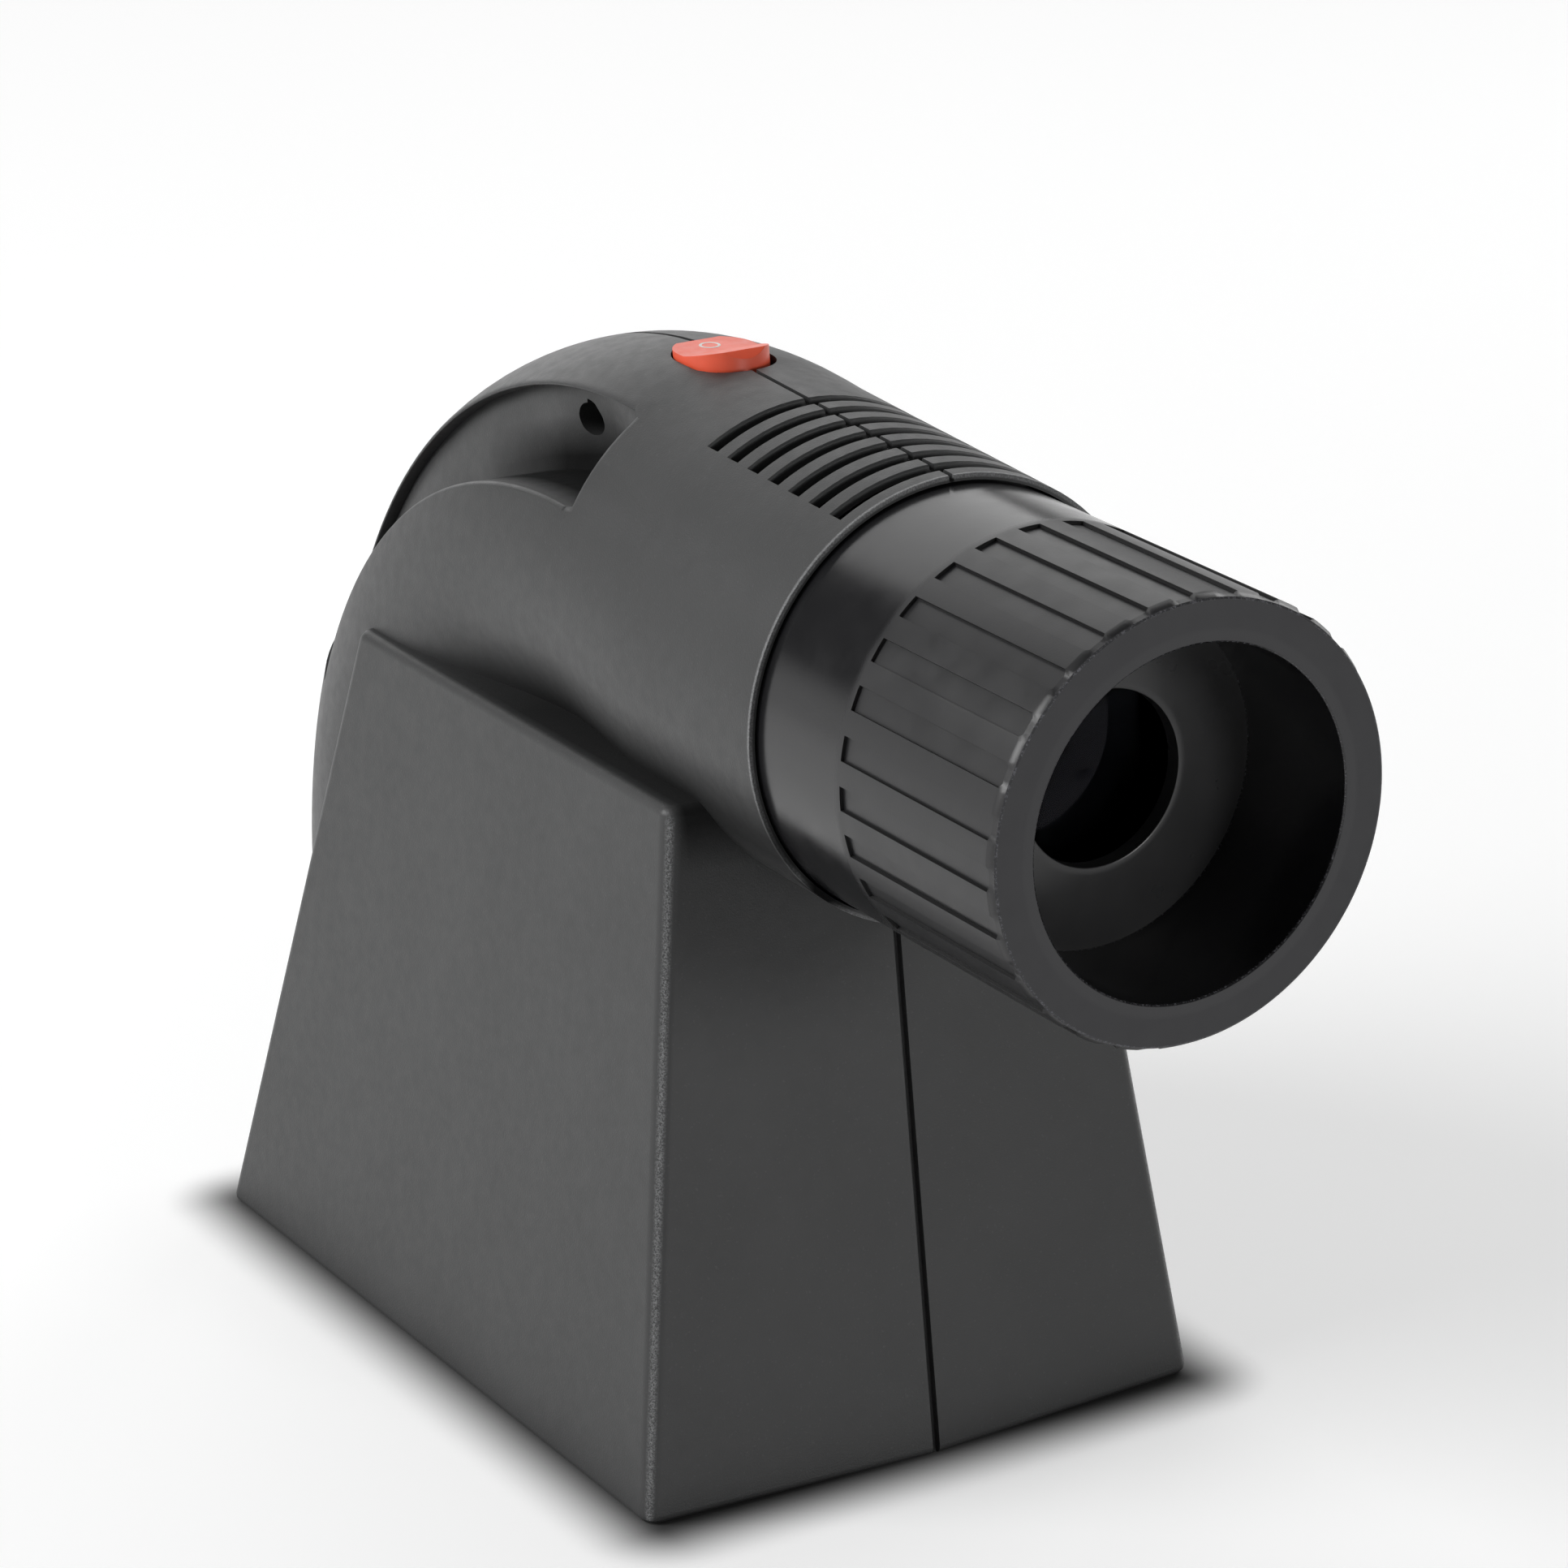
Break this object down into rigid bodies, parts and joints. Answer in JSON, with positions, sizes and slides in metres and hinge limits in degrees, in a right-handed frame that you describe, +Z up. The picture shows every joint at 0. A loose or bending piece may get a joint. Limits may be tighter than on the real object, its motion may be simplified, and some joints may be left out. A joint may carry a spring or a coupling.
{
  "type": "opaque projector",
  "caption": "Tracing projector with a tapered light box, round-backed mirror head, fluted focusing barrel and a rocker switch on top.",
  "frame": {"origin": "on the table under the middle of the object's bounding box", "axes": "+Z up, the lens looks along -Y, +X is to the right seen from the rear, the moulding seam lies in X = 0"},
  "size_m": [0.1396, 0.3238, 0.2286],
  "materials": {
    "shell_plastic": "fine-grained matte black",
    "frame_plastic": "matte black",
    "barrel_plastic": "semi-gloss black",
    "cell_plastic": "satin black",
    "stop_plastic": "matt black",
    "sleeve_plastic": "natural low-friction plastic",
    "lens_glass": "coated glass",
    "window_glass": "clear plate glass",
    "mirror_silver": "front-silvered",
    "screw_steel": "zinc plated",
    "spring_steel": "spring steel",
    "pin_brass": "turned",
    "bracket_metal": "folded sheet",
    "sink_metal": "extruded",
    "board_white": "white solder mask",
    "board_green": "green solder mask",
    "chip_yellow": "lamp phosphor",
    "screen_black": "matt black paint",
    "part_black": "moulded black",
    "rocker_red": "semi-gloss red"
  },
  "bodies": {
    "housing": {"left_shell": "shell_plastic", "right_shell": "shell_plastic", "shell_screws": "screw_steel", "floor_frame": "frame_plastic", "floor_screws": "screw_steel", "window_glass": "window_glass", "glass_clips": "spring_steel", "guide_sleeve": "sleeve_plastic", "front_mirror": "mirror_silver", "mirror_plate": "frame_plastic", "mirror_clips": "spring_steel", "lamp_bracket_front": "bracket_metal", "lamp_bracket_rear": "bracket_metal", "lamp_screws": "screw_steel", "heat_sink_front": "sink_metal", "heat_sink_rear": "sink_metal", "lamp_board_front": "board_white", "lamp_board_rear": "board_white", "lamp_chips_front": "chip_yellow", "lamp_chips_rear": "chip_yellow", "light_screen_front": "screen_black", "light_screen_rear": "screen_black", "driver_board": "board_green", "driver_parts": "part_black", "board_screws": "screw_steel", "power_jack": "part_black", "jack_nut": "spring_steel", "switch_body": "part_black", "switch_terminals": "pin_brass", "rocker_pin": "screw_steel"},
    "lens_carriage": {"lens_cell": "cell_plastic", "front_lens": "lens_glass", "lens_retainer": "cell_plastic"},
    "barrel": {"focus_barrel": "barrel_plastic", "follower_pins": "pin_brass", "aperture_stop": "stop_plastic", "coupling_ring": "cell_plastic"},
    "rocker": {"rocker": "rocker_red"}
  },
  "joints": [
    {"name": "focus_slide", "type": "slide", "parent": "housing", "child": "lens_carriage", "axis": [0, -1, 0], "range_m": [-0.021, 0.018]},
    {"name": "focus_turn", "type": "hinge", "parent": "lens_carriage", "child": "barrel", "pos_m": [0, -0.07683, 0.1734], "axis": [0, -1, 0], "range_deg": [-50.4, 43.2]},
    {"name": "rocker_tilt", "type": "hinge", "parent": "housing", "child": "rocker", "pos_m": [0, 0.01273, 0.2165], "axis": [1, 0, 0], "range_deg": [0, 14]}
  ],
  "couplings": [
    {"joint": "focus_slide", "follows": "focus_turn", "m_per_rad": 0.023873}
  ]
}
